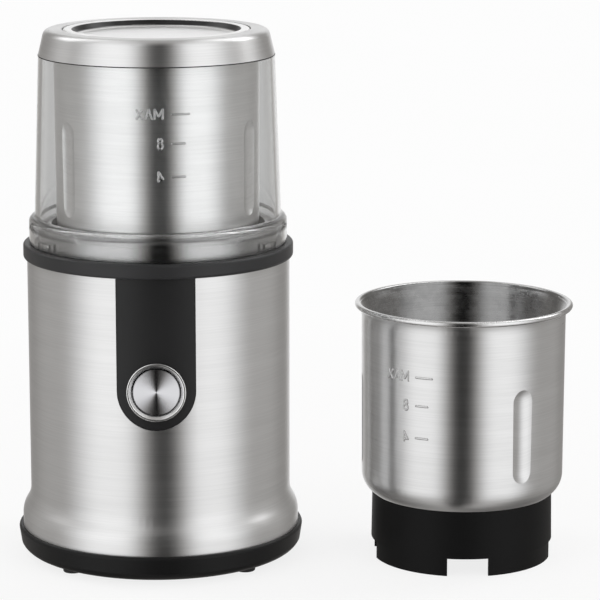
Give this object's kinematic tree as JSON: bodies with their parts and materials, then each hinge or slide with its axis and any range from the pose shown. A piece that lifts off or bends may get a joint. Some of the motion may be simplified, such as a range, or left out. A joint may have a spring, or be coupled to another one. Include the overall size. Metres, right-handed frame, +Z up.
{
  "type": "electric coffee grinder",
  "caption": "Round brushed-steel electric blade coffee grinder with a push button, clear steel-capped lid, lift-out steel cup and a matching second cup standing beside it.",
  "frame": {"origin": "on the table, at the middle of the box round the whole set: the grinder's upright axis is at x = -0.0547 m, y = 0, and the second cup's at x = 0.0689 m, y = -0.010 m", "axes": "+Z up, -Y towards the viewer of the push button, +X from the grinder to the second cup"},
  "size_m": [0.226, 0.1166, 0.2152],
  "materials": {
    "brushed_steel": "circumferentially brushed stainless steel",
    "bowl_steel": "brushed stainless steel",
    "trim_steel": "polished and brushed stainless steel",
    "dish_steel": "satin stainless steel",
    "button_steel": "spun stainless steel",
    "bezel_chrome": "bright chrome",
    "black_plastic": "fine-grained satin black",
    "cup_plastic": "fine-grained satin black",
    "clear_plastic": "clear polished",
    "foot_rubber": "matt",
    "gland_rubber": "matt",
    "seal_rubber": "matt",
    "inner_plastic": "plain moulded",
    "screw_steel": "zinc plated",
    "motor_iron": "laminated, varnished",
    "motor_metal": "pressed and plated",
    "shaft_steel": "ground",
    "copper_wire": "enamelled copper wire",
    "bearing_bronze": "sintered bronze",
    "carbon": "graphite",
    "fan_plastic": "plain moulded nylon",
    "board_green": "solder mask",
    "capacitor_yellow": "moulded case",
    "switch_plastic": "moulded case",
    "coupling_plastic": "filled nylon",
    "blade_steel": "ground stainless steel",
    "spring_steel": "drawn wire"
  },
  "bodies": {
    "base": {"base_plate": "black_plastic", "rubber_feet": "foot_rubber", "steel_sleeve": "brushed_steel", "top_collar": "black_plastic", "socket_trim": "trim_steel", "cup_socket": "black_plastic", "front_panel": "black_plastic", "button_bezel": "bezel_chrome", "inner_housing": "inner_plastic", "motor_stator": "motor_iron", "field_coils": "copper_wire", "lower_bracket": "motor_metal", "upper_bracket": "motor_metal", "lower_bearing": "bearing_bronze", "upper_bearing": "bearing_bronze", "brush_holders": "inner_plastic", "carbon_brushes": "carbon", "motor_bolts": "screw_steel", "circuit_board": "board_green", "suppressor_capacitor": "capacitor_yellow", "power_switch": "switch_plastic", "interlock_switch": "switch_plastic", "cord_grommet": "gland_rubber", "base_screws": "screw_steel", "socket_screws": "screw_steel", "button_spring": "spring_steel", "interlock_spring": "spring_steel"},
    "rotor": {"motor_shaft": "shaft_steel", "armature_core": "motor_iron", "armature_winding": "copper_wire", "commutator": "copper_wire", "cooling_fan": "fan_plastic", "drive_coupling": "coupling_plastic"},
    "button": {"button_cap": "button_steel", "button_stem": "inner_plastic"},
    "interlock": {"interlock_pin": "inner_plastic"},
    "cup": {"cup_bowl": "bowl_steel", "cup_base": "cup_plastic", "cup_bush": "bearing_bronze", "cup_nut": "screw_steel", "cup_seal": "seal_rubber"},
    "blade": {"blade_shaft": "shaft_steel", "blade": "blade_steel", "blade_nut": "blade_steel", "driven_coupling": "coupling_plastic"},
    "lid": {"lid_shell": "clear_plastic", "lid_cap": "brushed_steel", "lid_dish": "dish_steel"},
    "spare_cup": {"spare_bowl": "bowl_steel", "spare_base": "cup_plastic", "spare_bush": "bearing_bronze", "spare_nut": "screw_steel", "spare_seal": "seal_rubber"},
    "spare_blade": {"spare_blade_shaft": "shaft_steel", "spare_blade": "blade_steel", "spare_blade_nut": "blade_steel", "spare_driven_coupling": "coupling_plastic"}
  },
  "joints": [
    {"name": "rotor_spin", "type": "hinge", "parent": "base", "child": "rotor", "pos_m": [-0.0547, 0, 0.05], "axis": [0, 0, 1], "continuous": true},
    {"name": "cup_lift", "type": "slide", "parent": "base", "child": "cup", "axis": [0, 0, 1], "range_m": [0, 0.045]},
    {"name": "blade_spin", "type": "hinge", "parent": "cup", "child": "blade", "pos_m": [-0.0547, 0, 0.13], "axis": [0, 0, 1], "continuous": true},
    {"name": "lid_lift", "type": "slide", "parent": "cup", "child": "lid", "axis": [0, 0, 1], "range_m": [0, 0.095]},
    {"name": "interlock_rise", "type": "slide", "parent": "base", "child": "interlock", "axis": [0, 0, 1], "range_m": [0, 0.002], "deforming": ["interlock_spring"]},
    {"name": "button_press", "type": "slide", "parent": "base", "child": "button", "axis": [0, 1, 0], "range_m": [0, 0.0025], "stiffness_N_per_m": 900, "springref_m": -0.003, "deforming": ["button_spring"]},
    {"name": "spare_cup_lift", "type": "slide", "parent": "base", "child": "spare_cup", "axis": [0, 0, 1], "range_m": [0, 0.05]},
    {"name": "spare_blade_spin", "type": "hinge", "parent": "spare_cup", "child": "spare_blade", "pos_m": [0.0689, -0.01, 0.03], "axis": [0, 0, 1], "continuous": true}
  ],
  "couplings": [
    {"joint": "blade_spin", "follows": "rotor_spin", "ratio": 1},
    {"joint": "interlock_rise", "follows": "lid_lift", "ratio": 0.021}
  ]
}
